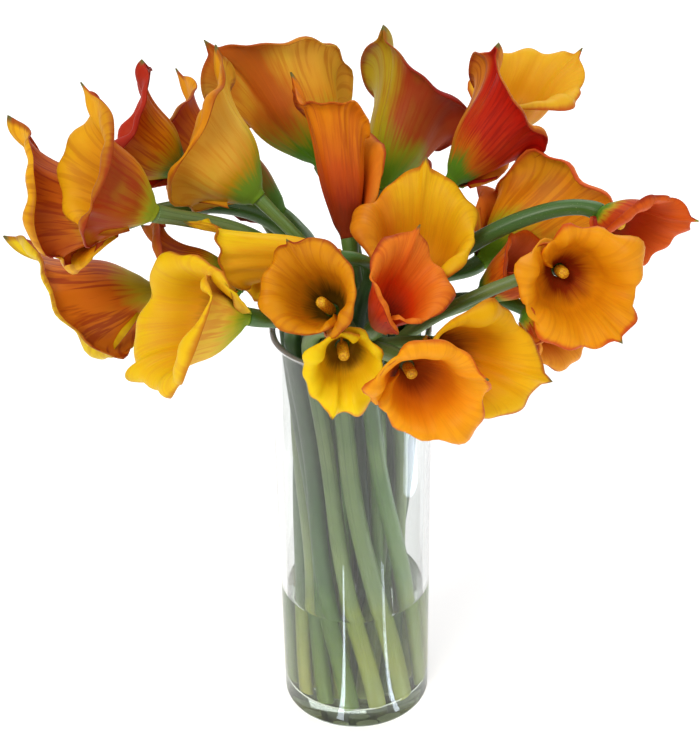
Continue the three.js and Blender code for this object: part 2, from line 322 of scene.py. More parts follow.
@dataclass(frozen=True)
class PetalFinish:
    """The colours of one spathe, as colour codes, and where they lie.

    The outside is the foot's colour up to the share that green gives, and goes on over turning and body to
    upper. The inside runs from throat over lining to lip, and its streaks are weaker. Its dark throat is
    partly the spathe's own colour and partly painted shade down in the deep throat. The flush is a second
    colour on one side, flush_at degrees round from the midrib. Fraying and raggedness are how unevenly the
    flush and the rim's colour end.
    """

    body: str
    upper: str
    lining: str
    lip: str
    foot: str = "557F1C"
    turning: str = "B59A14"
    # The inside darkens to this colour towards the stem: partly the spathe's own colour, partly painted
    # shade.
    throat: str = "6E3A06"
    streak: str = "9C2A06"
    rim: str = "8E1A0C"
    tail: str = "6B6A34"
    flush: str = "A82A0A"
    flush_at: float = 180.0
    flush_width: float = 60.0
    flush_share: float = 0.0
    green: float = 0.16
    streaks: float = 0.5
    inner_streaks: float = 0.4
    flush_core: float = 0.25
    fraying: float = 0.25
    raggedness: float = 0.025

    def stops(self, face: Face) -> Stops:
        """Lists one face's colours.

        Args:
            face: The face.

        Returns:
            Its colours at shares of the way from the stem to the rim.
        """
        if face is Face.INSIDE:
            # The dark throat here is partly painted shade.
            return [(0.0, self.throat), (0.16, self.throat), (0.4, self.lining), (0.85, self.lip)]
        return [
            (0.0, self.foot),
            (self.green, self.foot),
            (self.green + 0.14, self.turning),
            (self.green + 0.32, self.body),
            (0.9, self.upper),
        ]

    def across_at(self, degrees: float) -> float:
        """Finds a place across the sheet.

        Args:
            degrees: How far round from the midrib it lies.

        Returns:
            The place, from 0 to 1.
        """
        # The sheet turns with the mean of the place and its cube, so the place is the real root of a cubic.
        target = 2 * degrees / SHEET_TURN
        root = math.sqrt(target**2 / 4 + 1 / 27)
        return 0.5 + (np.cbrt(target / 2 + root) + np.cbrt(target / 2 - root)) / 2

    def paint(self, name: str, face: Face, seed: int) -> Material:
        """Makes the material of one face.

        Args:
            name: The material's name.
            face: Which face it dresses.
            seed: Sets this spathe's own pattern.

        Returns:
            The material.
        """
        paint = Paint(f"{name}_{face.value}")
        place = paint.coordinates("UV")
        around, along = paint.sides(place)
        inside = face is Face.INSIDE
        shift = seed * SPATHE_SHIFT + (FACE_SHIFT if inside else 0.0)
        veins = paint.noise(paint.stretched(place, VEIN_GRAIN, shift), detail=2.5)
        bands = paint.noise(paint.stretched(place, BAND_GRAIN, shift))
        clouds = paint.noise(paint.stretched(place, CLOUD_GRAIN, shift))
        uneven = paint.sum(paint.sum(along, paint.centred(clouds), 0.3), paint.centred(veins), 0.2)
        colour = paint.ramp(uneven, self.stops(face))
        if self.flush_share:
            side = paint.away(around, self.across_at(self.flush_at))
            width = self.flush_width / SHEET_TURN
            frayed = paint.sum(side, paint.centred(clouds), self.fraying)
            flushed = Mark((width, width * self.flush_core), (0.12, 0.42), self.flush_share)
            colour = paint.over(flushed.reach(paint, frayed, uneven), colour, tint(self.flush))
        strength = self.streaks * (self.inner_streaks if inside else 1.0)
        ragged = paint.sum(along, paint.sum(veins, clouds), self.raggedness)
        # Of these marks the first is painted highlight and the second partly painted shade; the rest are the
        # spathe's own colours.
        for mark, pattern, way, strong, code in (
            (HIGHLIGHT_PATCHES, clouds, along, 1.0, self.lip if inside else self.turning),
            (STREAK_AND_SHADE_WASHES, bands, along, strength, self.streak),
            (LINES, veins, along, strength, self.streak),
            (RIM, clouds, ragged, 1.0, self.rim),
            (TAIL, paint.away(around, 0.5), along, 1.0, self.tail),
        ):
            colour = paint.over(mark.reach(paint, pattern, way, strong), colour, tint(code))
        paint.set(
            Base_Color=colour,
            Roughness=paint.sum(0.42, clouds, 0.2),
            Specular_IOR_Level=0.13,
            Subsurface_Weight=0.12,
            Subsurface_Radius=(1.0, 0.35, 0.08),
            Subsurface_Scale=0.003,
        )
        paint.relief(paint.sum(veins, clouds, 0.6), depth=0.45, strength=0.5)
        return paint.material


@dataclass(frozen=True)
class StemFinish:
    """Stem green: paler yellow-green in the water as painted light, greyer in the glass as painted
    reflection, deep green above.
    """

    foot: str = "9A9E32"
    wet: str = "7A902E"
    middle: str = "5E8438"
    mouth: str = "3C681C"
    top: str = "3C6618"
    shade: str = "2C4C14"
    pale: str = "8AA258"
    cut: str = "D3D8A0"

    def paint(self, name: str) -> Material:
        """Makes the skin's material.

        Args:
            name: Its name.

        Returns:
            The material.
        """
        paint = Paint(name)
        place = paint.coordinates("UV")
        _, along = paint.sides(place)
        body = paint.coordinates("Object")
        ribs = paint.noise(paint.stretched(place, STEM_GRAIN))
        clouds = paint.noise(body, scale=45)
        patches = paint.noise(body, scale=17, detail=1)
        freckles = paint.noise(body, scale=1400)
        # Paler yellow-green in the water is painted light, and the greyer middle is a painted reflection of
        # the glass.
        colour = paint.ramp(
            paint.sum(along, paint.centred(clouds), 0.08),
            [
                (0.0, self.foot),
                (0.09, self.wet),
                (0.12, self.middle),
                (0.2, self.middle),
                (0.31, self.mouth),
                (1.0, self.top),
            ],
        )
        for pattern, start, end, share, code in (
            (patches, 0.42, 0.62, 0.4, self.pale),
            (ribs, 0.48, 0.75, 0.5, self.shade),
            (freckles, 0.66, 0.76, 0.35, self.cut),
        ):
            colour = paint.over(paint.product(paint.step(pattern, start, end), share), colour, tint(code))
        paint.set(
            Base_Color=colour,
            Roughness=paint.sum(0.3, clouds, 0.2),
            Subsurface_Weight=0.12,
            Subsurface_Radius=(0.5, 1.0, 0.2),
            Subsurface_Scale=0.003,
        )
        paint.relief(ribs, depth=0.3, strength=0.5)
        return paint.material

    def paint_cut(self) -> Material:
        """Makes the material of a stem's cut end, with its pores.

        Returns:
            The material.
        """
        paint = Paint("stem_cut_end")
        pores = paint.cells(paint.coordinates("Object"), scale=1300)
        colour = paint.over(paint.step(pores, 0.35, 0.1), tint(self.cut), tint(self.middle))
        paint.set(Base_Color=colour, Roughness=0.6)
        paint.relief(pores, depth=0.2)
        return paint.material


@dataclass(frozen=True)
class SpadixFinish:
    """The yellow of the spadix, a club of tiny packed grains."""

    grain: str = "F4C81A"
    gap: str = "D2930C"

    def paint(self) -> Material:
        """Makes the material.

        Returns:
            The material.
        """
        paint = Paint("spadix_grains")
        place = paint.coordinates("Object")
        grains = paint.cells(place, scale=900)
        clouds = paint.noise(place, scale=160)
        colour = paint.over(paint.step(grains, 0.3, 0.75), tint(self.grain), tint(self.gap))
        colour = paint.over(paint.product(clouds, 0.35), colour, tint(self.gap))
        paint.set(Base_Color=colour, Roughness=0.62, Subsurface_Weight=0.15, Subsurface_Scale=0.002)
        paint.relief(paint.sum(1.0, grains, -1.0), depth=0.35)
        return paint.material


@dataclass(frozen=True)
class GlassFinish:
    """Clear polished glass, slightly green where it is thick, with a part-opaque pale lip as a painted
    highlight.
    """

    colour: str = "F4F6F6"
    depth: str = "BFD0CA"
    density: float = 6.0
    lip_height: float = 268.6
    lip_fade: float = 1.2
    lip_highlight_share: float = 0.35

    def paint(self) -> Material:
        """Makes the material.

        Returns:
            The material.
        """
        paint = Paint("vase_glass_clear")
        place = paint.coordinates("Object")
        waves = paint.noise(paint.stretched(place, GLASS_GRAIN))
        smears = paint.step(paint.noise(place, scale=18, detail=3), 0.5, 0.8)
        # The lip lets less light through, so its pale colour shows: a painted highlight along the rim.
        below_lip = (self.lip_height - self.lip_fade) * MM
        lip = paint.step(paint.height(place), below_lip, self.lip_height * MM)
        paint.set(
            Base_Color=tint(self.colour),
            Roughness=paint.sum(0.0, smears, 0.03),
            Transmission_Weight=paint.sum(1.0, lip, -self.lip_highlight_share),
            IOR=1.48,
        )
        paint.relief(waves, depth=0.4, strength=0.25)
        paint.fill(self.depth, self.density)
        return paint.material


@dataclass(frozen=True)
class WaterFinish:
    """Still water, faintly green from the stems."""

    colour: str = "F1F8EC"

    def paint(self) -> Material:
        """Makes the material.

        Returns:
            The material.
        """
        paint = Paint("vase_water_clear")
        ripples = paint.noise(paint.coordinates("Object"), scale=60, detail=1)
        paint.set(Base_Color=tint(self.colour), Roughness=0.0, Transmission_Weight=1.0, IOR=1.333)
        paint.relief(ripples, depth=0.15, strength=0.3)
        return paint.material


@dataclass(frozen=True)
class FloorFinish:
    """A pale matt table, lit a little from below as a sheet on a light table is."""

    colour: str = "F7F7F6"
    shade: str = "F1F1EF"
    glow: float = 0.34

    def paint(self) -> Material:
        """Makes the material.

        Returns:
            The material.
        """
        paint = Paint("floor_pale")
        clouds = paint.noise(paint.coordinates("Object"), scale=3)
        paint.set(Base_Color=paint.over(clouds, tint(self.colour), tint(self.shade)), Roughness=0.9)
        paint.set(Emission_Color=tint("FFFFFF"), Emission_Strength=self.glow)
        return paint.material


def enlist(piece: Piece, slot: str, *nodes: str) -> Piece:
    """Puts a finished piece on the frame's one body and reports it.

    Args:
        piece: The piece, in place.
        slot: The record's material slot that it stands for, which is only logged.
        nodes: The CAD nodes that it stands for.

    Returns:
        The piece.
    """
    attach(piece, "root")
    if nodes:
        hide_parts(*nodes)
    LOG.info("%s: %d faces, %s", piece.name, len(piece.data.polygons), slot)
    return piece


def piece_of(mesh: Mesh, name: str, *materials: Material) -> Piece:
    """Turns a worked mesh into an object that is shaded smooth but for its sharp edges.

    Args:
        mesh: The mesh, in place and in metres. It is freed.
        name: The object's name.
        materials: Its material slots, in order.

    Returns:
        The new object.
    """
    for face in mesh.faces:
        face.smooth = True
    for edge in mesh.edges:
        edge.smooth = edge.is_boundary or edge.calc_face_angle() < SHARP
    data = bpy.data.meshes.new(name)
    mesh.to_mesh(data)
    mesh.free()
    for material in materials:
        data.materials.append(material)
    piece = bpy.data.objects.new(name, data)
    bpy.context.scene.collection.objects.link(piece)
    return piece


def warped_grid(across: int, along: int, place: Callable[[np.ndarray, np.ndarray], np.ndarray]) -> Mesh:
    """Lays a flat grid over a surface.

    Args:
        across: How many faces the grid has one way.
        along: How many faces it has the other way.
        place: Gives the points in millimetres at shares from 0 to 1 of both ways.

    Returns:
        The grid in metres, with its shares as its UV map.
    """
    mesh = bmesh.new()
    mesh.loops.layers.uv.new("UVMap")
    bmesh.ops.create_grid(mesh, x_segments=across, y_segments=along, size=1.0, calc_uvs=True)
    flat = np.array([vertex.co[:2] for vertex in mesh.verts]) / 2 + 0.5
    for vertex, point in zip(mesh.verts, place(flat[:, 0], flat[:, 1]) * MM):
        vertex.co = point
    return mesh


def closed(mesh: Mesh) -> list[bmesh.types.BMFace]:
    """Welds a rolled-up grid along its seam and fills its open ends.

    Args:
        mesh: The grid, changed in place.

    Returns:
        The faces at the ends.
    """
    bmesh.ops.remove_doubles(mesh, verts=mesh.verts, dist=WELD)
    open_ends = [edge for edge in mesh.edges if edge.is_boundary]
    caps = bmesh.ops.holes_fill(mesh, edges=open_ends, sides=0)["faces"]
    bmesh.ops.recalc_face_normals(mesh, faces=mesh.faces)
    return caps


@dataclass(frozen=True)
class Form:
    """How a spathe is cut and how far it opens. Lists run back, left, front, right.

    Reach is the way from stem to rim as a share of the midrib, flare is the upper half's turn outwards in
    degrees, and roll is what the last quarter adds. Cone is the throat's half angle, and ruffle the height of
    the rim's waves.
    """

    reach: Sequence[float]
    flare: Sequence[float]
    roll: Sequence[float]
    cone: float
    ruffle: float


class Habit(Enum):
    """The kinds of spathe in the bunch."""

    SLIM = Form((0.9, 0.86, 0.66, 0.86), (10, 16, 12, 16), (5, 10, 10, 10), 13, 1)
    CUP = Form((0.9, 0.8, 0.48, 0.8), (30, 40, 34, 40), (10, 35, 30, 35), 27, 1)
    OPEN = Form((0.9, 0.8, 0.42, 0.8), (42, 50, 40, 50), (10, 40, 40, 40), 36, 1.5)
    BROAD = Form((0.9, 0.85, 0.5, 0.85), (50, 60, 50, 60), (10, 40, 40, 40), 38, 2)
    CURLED = Form((0.9, 0.85, 0.54, 0.85), (75, 60, 50, 60), (60, 40, 40, 40), 38, 2)
    FRILLED = Form((0.9, 0.87, 0.5, 0.87), (46, 60, 50, 60), (10, 30, 30, 30), 35, 4)


@dataclass(frozen=True)
class Bend:
    """A bend of the sheet in degrees, with its start and run as shares of the way to the rim."""

    degrees: float
    start: float
    run: float

    def lean(self, share: np.ndarray) -> np.ndarray:
        """Gives the bend's lean in radians at shares of the way to the rim."""
        return math.radians(self.degrees) * ease(share, self.start, self.run)


RIM_CURL = Bend(58, 0.88, 0.12)
TAIL_HOOK = Bend(44, 0.86, 0.14)
OUTER_EDGE = Bend(36, 0.3, 0.7)
INNER_EDGE = Bend(24, 0.3, 0.7)

# Start and run of the throat's opening and of its straightening, as shares of the midrib, how much of its
# cone it loses there, and its radius at the stem and the swelling above it, in millimetres.
OPENING: Pair = (0.0, 0.06)
STRAIGHTENING: Pair = (0.2, 0.32)
STRAIGHTENED = 0.75
THROAT_RADIUS = 4.3
THROAT_SWELL = 1.6

# Start and run of the collar, the midrib's groove, the flare and the roll, as shares of the way to the rim.
COLLAR: Pair = (0.0, 0.12)
GROOVE: Pair = (0.0, 0.3)
FLARE: Pair = (0.5, 0.5)
ROLL: Pair = (0.75, 0.25)

# Start and run, in radians round from the midrib, of the rim beside the tail and of an overlapping edge.
BESIDE_TAIL: Pair = (0.1, 0.5)
AT_EDGE: Pair = (2.3, 1.2)

# Depth of the folds and of the midrib's groove in millimetres, and how many steps a rib is followed in.
FOLD_DEPTH = 0.45
GROOVE_DEPTH = 1.1
RIB_STEPS = 28

# How many steps a stem's line has below the vase's mouth and above it.
STEPS_BELOW = 24
STEPS_ABOVE = 48

# Where a spadix's tip rounds off, how slim its foot is, and its grains' height, spacing and number round.
TIP_FROM = 0.86
FOOT_SHARE = 0.86
FOOT_RUN = 0.25
GRAIN_HEIGHT = 0.16
GRAIN_SPACING = 3.0
GRAINS_ROUND = 7


def round_the_throat(four: Sequence[float], theta: np.ndarray) -> np.ndarray:
    """Reads a value given at the back, left, front and right.

    Args:
        four: The four values.
        theta: Angles from the back, in radians.

    Returns:
        The values there, changing slowly beside the midrib.
    """
    turn = np.mod(theta / (math.pi / 2), 4)
    start = np.floor(turn).astype(int) % 4
    share = ease(turn - np.floor(turn))
    share = np.where(start == 0, share**1.5, share)
    share = np.where(start == 3, 1 - (1 - share) ** 1.5, share)
    values = np.array(four, float)
    return values[start] + (values[(start + 1) % 4] - values[start]) * share


@dataclass
class Calla:
    """One calla: its stem, its spadix and its spathe.

    At is the stem's end. Lean and compass give the throat's direction, and turn the midrib's place round it.
    Wrap is how far the sheet moves outwards in one turn, and wilful how unevenly it opens. Bow and swing bend
    the stem inside the vase, and swollen is the length of its swelling below the bloom.
    """

    name: str
    at: Triple
    lean: float
    compass: float
    turn: float
    size: float
    habit: Habit
    finish: PetalFinish
    pull: float = 0.4
    sway: Triple = (0, 0, 0)
    hand: int = 1
    phase: float = 0.0
    seed: int = 0
    seat: Vector = field(default_factory=Vector)
    foot: Vector = field(default_factory=Vector)
    stem_radii: tuple[float, float, float, float] = (5.0, 4.6, 3.9, 4.7)
    spadix_radius: float = 3.1
    spadix_share: float = 0.36
    thickness: float = 0.9
    wrap: float = 2.2
    wilful: float = 0.24
    bow: float = 5.0
    swing: float = 0.6
    stoutness: float = 0.15
    swollen: float = 14.0
    neck: float = 1.5
    waist: float = 0.9
    ribs: int = 5
    rib_depth: float = 0.018

    def frame(self) -> Matrix:
        """Gives the frame at the stem's end.

        Returns:
            The frame, with +Z up the throat and the midrib on the +X side.
        """
        turns = (
            Matrix.Rotation(math.radians(self.compass), 4, "Z")
            @ Matrix.Rotation(math.radians(self.lean), 4, "Y")
            @ Matrix.Rotation(math.radians(180 + self.turn), 4, "Z")
        )
        return Matrix.Translation(self.at) @ turns

    def throat(self) -> Vector:
        """Gives the throat's direction."""
        return self.frame().to_3x3() @ Vector((0, 0, 1))

    def placed(self, radius: np.ndarray, angle: np.ndarray, height: np.ndarray) -> np.ndarray:
        """Moves points given round and up the throat's axis to their place in the bunch."""
        own = np.stack([radius * np.cos(angle), radius * np.sin(angle), height, np.ones_like(angle)])
        return (np.array(self.frame()) @ own)[:3].T

    def rib_lean(self, theta: np.ndarray, share: np.ndarray, run: np.ndarray) -> np.ndarray:
        """Gives how far a rib leans from the throat's axis.

        Args:
            theta: The ribs' angles round the throat.
            share: Shares of their way to the rim.
            run: The same way as a share of the midrib's length.

        Returns:
            The lean in radians.
        """
        form = self.habit.value
        uneven = 1 + self.wilful * np.sin(theta + 1.7 * self.phase)
        cone = math.radians(form.cone) * ease(run, *OPENING)
        throat = cone * (1 - STRAIGHTENED * ease(run, *STRAIGHTENING))
        open_share = np.clip((share - FLARE[0]) / FLARE[1], 0, 1) ** 1.4
        flare = np.radians(round_the_throat(form.flare, theta)) * open_share
        roll = np.radians(round_the_throat(form.roll, theta)) * ease(share, *ROLL)
        off_tail = ease(np.abs(theta), *BESIDE_TAIL)
        curl = RIM_CURL.lean(share) * off_tail
        hook = TAIL_HOOK.lean(share) * np.sin(self.phase) * (1 - off_tail)
        wrapped = OUTER_EDGE.lean(share) * ease(self.hand * theta, *AT_EDGE)
        tucked = INNER_EDGE.lean(share) * ease(-self.hand * theta, *AT_EDGE)
        return throat + flare * uneven + roll + curl + hook + wrapped - tucked

    def rib_length(self, theta: np.ndarray) -> np.ndarray:
        """Gives the sheet's length from stem to rim in millimetres, with the tail at the midrib.

        Args:
            theta: Angles round the throat.

        Returns:
            The lengths there, shorter where the sheet laps over itself.
        """
        lapped = np.clip((np.abs(theta) - math.pi) / math.radians(OVERLAP), 0, 1)
        # A broad point, rounded at its very middle, and the slender tail on it.
        point = 0.12 * np.exp(-np.sqrt(theta**2 + 0.0016) / 0.55)
        tail = 0.085 * np.exp(-((theta / 0.045) ** 2))
        reach = round_the_throat(self.habit.value.reach, theta) + (point + tail)
        return self.size * reach * (1 - 0.75 * lapped**1.4)

    def raised(self, theta: np.ndarray, along: np.ndarray) -> np.ndarray:
        """Gives how far the wrap, the waves, the folds and the midrib raise the sheet.

        Args:
            theta: Angles round the throat.
            along: Shares from the stem to the rim.

        Returns:
            Millimetres outwards.
        """
        ruffle = self.habit.value.ruffle
        # Each wave: its number round the throat, its height, the power that it grows with, and its phase.
        waves = ((5, ruffle, 3, 1.0), (3, 2.4, 2, 1.3), (11, 0.6 + 0.35 * ruffle, 4, 2.1))
        wave = sum(
            height * along**power * np.sin(count * theta + phase * self.phase)
            for count, height, power, phase in waves
        )
        folds = FOLD_DEPTH * np.sin(8 * theta + 3 * self.phase + 2 * along) * along
        groove = GROOVE_DEPTH * np.exp(-((theta / 0.11) ** 2)) * ease(along, *GROOVE)
        wrap = self.wrap * (0.5 + 0.5 * ease(along, *COLLAR)) * self.hand * theta / (2 * math.pi)
        off_midrib = np.minimum(1, 2 * np.abs(theta))
        return wrap + (wave + folds) * off_midrib - groove

    def spathe_points(self, across: np.ndarray, along: np.ndarray) -> np.ndarray:
        """Gives points of the spathe's middle sheet.

        Args:
            across: Shares from one edge round to the other.
            along: Shares from the stem to the rim.

        Returns:
            The points in millimetres.
        """
        signed = 2 * across - 1
        theta = math.radians(SHEET_TURN) * (0.5 * signed + 0.5 * signed**3)
        length = self.rib_length(theta)
        radius = np.full_like(theta, THROAT_RADIUS) + THROAT_SWELL * ease(along, *COLLAR)
        height = np.zeros_like(theta)
        for step in range(RIB_STEPS):
            part = along * (step + 0.5) / RIB_STEPS
            lean = self.rib_lean(theta, part, part * length / self.size)
            radius += np.sin(lean) * along * length / RIB_STEPS
            height += np.cos(lean) * along * length / RIB_STEPS
        lean = self.rib_lean(theta, along, along * length / self.size)
        raised = self.raised(theta, along)
        return self.placed(radius + np.cos(lean) * raised, theta, height - np.sin(lean) * raised)

    def spathe(self) -> Piece:
        """Builds and dresses the spathe, a thin sheet with two faces.

        Returns:
            The spathe's object.
        """
        name = f"calla_{self.name}_spathe"
        faces = [self.finish.paint(f"spathe_{self.name}", face, self.seed) for face in Face]
        piece = piece_of(warped_grid(*SHEET_GRID, self.spathe_points), name, *faces)
        sheet = piece.modifiers.new("sheet", "SOLIDIFY")
        sheet.thickness = self.thickness * MM
        sheet.offset = 0.0
        sheet.material_offset = 1
        sheet.material_offset_rim = 0
        return enlist(piece, "spathe", f"spathe_{self.name}")

    def path(self) -> tuple[np.ndarray, np.ndarray]:
        """Gives the stem's centre line, from its foot in the vase to the spathe's throat.

        Returns:
            The line's points, and its radius at each.
        """
        end = Vector(self.at)
        throat = self.throat()
        rise = (self.seat - self.foot).normalized()
        span = (end - self.seat).length
        sway = Vector(self.sway)
        knots = [
            self.seat,
            self.seat + rise * span * self.pull + sway,
            end - throat * span * self.pull + sway,
            end,
        ]
        points, radii = [], []
        stout = 1 + self.stoutness * math.sin(3.1 * self.phase)
        foot, mouth, top, collar = (radius * stout for radius in self.stem_radii)
        bowed = Vector((math.cos(self.phase * 2), math.sin(self.phase * 2), 0)) * self.bow
        swung = Vector((-bowed.y, bowed.x, 0)) * self.swing
        for share in np.linspace(0, 1, STEPS_BELOW, endpoint=False):
            bend = bowed * math.sin(math.pi * share) ** 2 + swung * 0.5 * (1 - share) ** 2
            bend += swung * math.sin(2 * math.pi * share) * math.sin(math.pi * share)
            points.append(self.foot.lerp(self.seat, share) + bend)
            radii.append(foot + (mouth - foot) * share)
        for share in np.linspace(0, 1, STEPS_ABOVE):
            left = 1 - share
            weights = (left**3, 3 * left**2 * share, 3 * left * share**2, share**3)
            points.append(sum((knot * weight for knot, weight in zip(knots, weights)), Vector()))
            swelling = float(ease(1 - left * span / self.swollen))
            radii.append(mouth + (top - mouth) * share + (collar - top) * swelling)
        points.append(end + throat * self.neck)
        radii.append(self.spadix_radius * self.waist)
        return np.array(points), np.array(radii)

    def stem(self, skin: Material, cut: Material) -> Piece:
        """Builds and dresses the stem.

        Args:
            skin: The material of its skin.
            cut: The material of its cut end.

        Returns:
            The stem's object.
        """
        points, radii = self.path()
        tangents = np.gradient(points, axis=0)
        tangents /= np.linalg.norm(tangents, axis=1)[:, None]
        side = np.array([1.0, 0.0, 0.0])
        sides = []
        for tangent in tangents:
            side = side - tangent * side.dot(tangent)
            side = side / np.linalg.norm(side)
            sides.append(side)
        firsts = np.array(sides)
        seconds = np.cross(tangents, firsts)
        last = len(points) - 1

        def skin_points(across: np.ndarray, along: np.ndarray) -> np.ndarray:
            """Gives points on the stem's skin.

            Args:
                across: Shares of the way round it.
                along: Shares of the way along it.

            Returns:
                The points in millimetres.
            """
            row = np.rint(along * last).astype(int)
            angle = 2 * math.pi * across
            ribbed = radii[row] * (1 + self.rib_depth * np.cos(self.ribs * angle + self.phase))
            turn = np.cos(angle)[:, None] * firsts[row] + np.sin(angle)[:, None] * seconds[row]
            return points[row] + ribbed[:, None] * turn

        mesh = warped_grid(STEM_SIDES, last, skin_points)
        foot = Vector(points[0]) * MM
        for face in closed(mesh):
            if (face.calc_center_median() - foot).length < self.stem_radii[0] * MM:
                face.material_index = 1
        piece = piece_of(mesh, f"calla_{self.name}_stem", skin, cut)
        return enlist(piece, "stem", f"stem_{self.name}")

    def spadix(self, grains: Material) -> Piece:
        """Builds and dresses the spadix, a blunt club pebbled with grains.

        Args:
            grains: Its material.

        Returns:
            The spadix's object.
        """
        length = self.spadix_share * self.size

        def club_points(across: np.ndarray, along: np.ndarray) -> np.ndarray:
            """Gives points on the club.

            Args:
                across: Shares of the way round it.
                along: Shares of the way up it.

            Returns:
                The points in millimetres.
            """
            angle = 2 * math.pi * across
            body = FOOT_SHARE + (1 - FOOT_SHARE) * ease(along, 0.0, FOOT_RUN)
            tip = np.sqrt(np.clip(1 - np.clip((along - TIP_FROM) / (1 - TIP_FROM), 0, 1) ** 2, 0, 1))
            row = 2 * math.pi * along * length / GRAIN_SPACING
            grain = GRAIN_HEIGHT * np.cos(GRAINS_ROUND * angle + row) * np.cos(GRAINS_ROUND * angle - row)
            return self.placed((self.spadix_radius * body + grain) * tip, angle, along * length)

        mesh = warped_grid(*CLUB_GRID, club_points)
        closed(mesh)
        return enlist(piece_of(mesh, f"calla_{self.name}_spadix", grains), "spadix")


@dataclass
class Vase:
    """The glass cylinder and the water in it.

    Guard keeps a profile's points clear of its corners, and touch is how far the water goes into the glass.
    """

    height: float = 270.0
    rim_radius: float = 47.0
    base_radius: float = 45.0
    wall: float = 3.5
    floor: float = 12.0
    dome: float = 0.6
    dome_radius: float = 24.0
    heel: float = 4.0
    corner: float = 5.0
    guard: float = 0.6
    water_top: float = 84.0
    meniscus: float = 0.5
    climb_run: float = 0.7
    touch: float = 0.15
    turns: int = 144
    arc_points: int = 9
    levels: Sequence[float] = (84, 140, 200, 240)
    underside: Sequence[Pair] = ((0, 1.6), (20, 1.3), (34, 0.5), (38.4, 0.05), (39, 0))

    def outer(self, z: float) -> float:
        """Gives the outer radius at a height."""
        return self.base_radius + (self.rim_radius - self.base_radius) * z / self.height

    def floor_corner(self) -> Pair:
        """Gives the centre of the rounded corner between the floor and the wall's inside."""
        return (self.outer(self.floor) - self.wall - self.corner, self.floor + self.corner)

    def wall_line(self, heights: Sequence[float], inset: float) -> list[Pair]:
        """Gives points on a wall that lies inset from the outer face, as radius and height."""
        return [(self.outer(z) - inset, z) for z in heights]

    def arc(self, centre: Pair, radius: float, start: float, end: float) -> list[Pair]:
        """Gives a rounded corner of a profile, from one angle in degrees to another."""
        angles = np.radians(np.linspace(start, end, self.arc_points))
        return [(centre[0] + radius * math.cos(a), centre[1] + radius * math.sin(a)) for a in angles]

    def turned(self, profile: Sequence[Pair]) -> Mesh:
        """Spins a profile about the vase's axis.

        Args:
            profile: Points as radius and height, from axis to axis.

        Returns:
            The closed mesh in metres.
        """
        mesh = bmesh.new()
        chain = [mesh.verts.new((r * MM, 0, z * MM)) for r, z in profile]
        edges = [mesh.edges.new(pair) for pair in zip(chain, chain[1:])]
        bmesh.ops.spin(
            mesh,
            geom=chain + edges,
            cent=(0, 0, 0),
            axis=(0, 0, 1),
            angle=2 * math.pi,
            steps=self.turns,
            use_merge=True,
        )
        bmesh.ops.remove_doubles(mesh, verts=mesh.verts, dist=WELD)
        bmesh.ops.recalc_face_normals(mesh, faces=mesh.faces)
        return mesh

    def glass(self) -> Piece:
        """Builds and dresses the glass, with its thick domed floor, rounded foot and fire-polished rim.

        Returns:
            The glass's object.
        """
        lip = self.wall / 2
        top = self.height - lip
        corner = self.floor_corner()
        below_lip, above_corner = top - self.guard, corner[1] + self.guard
        profile = list(self.underside)
        profile += self.arc((self.outer(self.heel) - self.heel, self.heel), self.heel, -90, 0)
        profile += self.wall_line((self.heel + self.guard, 30, *self.levels, below_lip), 0)
        profile += self.arc((self.outer(top) - lip, top), lip, 0, 180)
        profile += self.wall_line((below_lip, *reversed(self.levels), 40, above_corner), self.wall)
        profile += self.arc(corner, self.corner, 0, -90)
        profile.append((corner[0] - self.guard, self.floor + 0.02))
        profile += [(self.dome_radius, self.floor + self.dome / 2), (0, self.floor + self.dome)]
        piece = piece_of(self.turned(profile), "vase_glass", GlassFinish().paint())
        piece.visible_shadow = False
        return enlist(piece, "glass", "vase")

    def water(self) -> Piece:
        """Builds and dresses the water, which climbs a little where it meets the glass.

        Returns:
            The water's object.
        """
        corner = self.floor_corner()
        above_corner = corner[1] + self.guard
        brim = self.water_top + self.meniscus
        bed = self.floor - self.touch
        profile = [(0, bed + self.dome), (self.dome_radius, bed + self.dome / 2)]
        profile += self.arc(corner, self.corner + self.touch, -90, 0)
        profile += self.wall_line((above_corner, 50, brim - self.guard, brim), self.wall - self.touch)
        for inwards in (0.3, 0.7, 1.2, 2.0, 3.2):
            climb = self.meniscus * math.exp(-inwards / self.climb_run)
            profile.append((self.outer(brim) - self.wall - inwards, self.water_top + climb))
        profile += [(self.dome_radius, self.water_top), (0, self.water_top)]
        piece = piece_of(self.turned(profile), "vase_water", WaterFinish().paint())
        piece.visible_shadow = False
        return enlist(piece, "water", "water")


@dataclass(frozen=True)
class Ring:
    """A ring of seats in the vase's mouth. Twist is how many degrees further round a stem's foot stands."""

    seats: int
    radius: float
    twist: float


